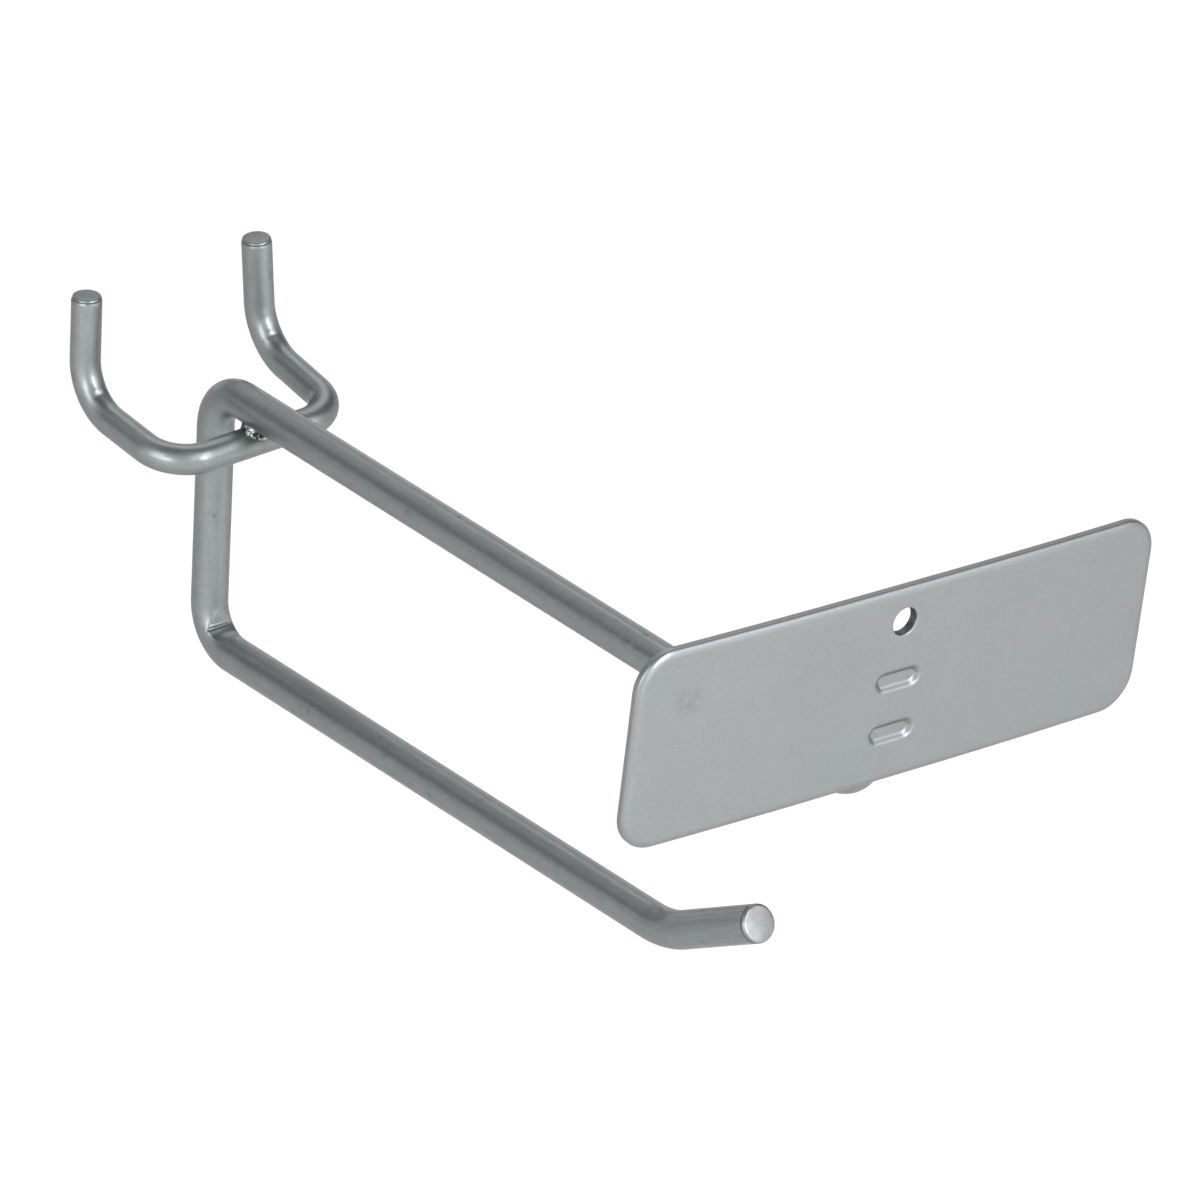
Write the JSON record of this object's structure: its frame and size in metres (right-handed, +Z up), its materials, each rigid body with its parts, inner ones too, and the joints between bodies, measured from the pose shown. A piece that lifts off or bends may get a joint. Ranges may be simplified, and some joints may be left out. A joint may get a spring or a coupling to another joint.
{
  "type": "pegboard hook",
  "caption": "Bent-wire pegboard hook with a lower arm for goods, an upper arm that carries a label plate, and turned-up pegs that hook into the board.",
  "frame": {"origin": "on the board's front face, midway between the two legs, at the height of their centres", "axes": "+Y into the board, -Y to the shopper, +X to the shopper's right, +Z up"},
  "size_m": [0.0726, 0.1342, 0.0632],
  "materials": {
    "powder_coat": "silver-grey metallic powder coat with fine orange peel, satin"
  },
  "bodies": {
    "root": {"hook_wire": "powder_coat", "peg_wire": "powder_coat", "crossbar_weld": "powder_coat", "label_plate": "powder_coat"}
  },
  "joints": []
}
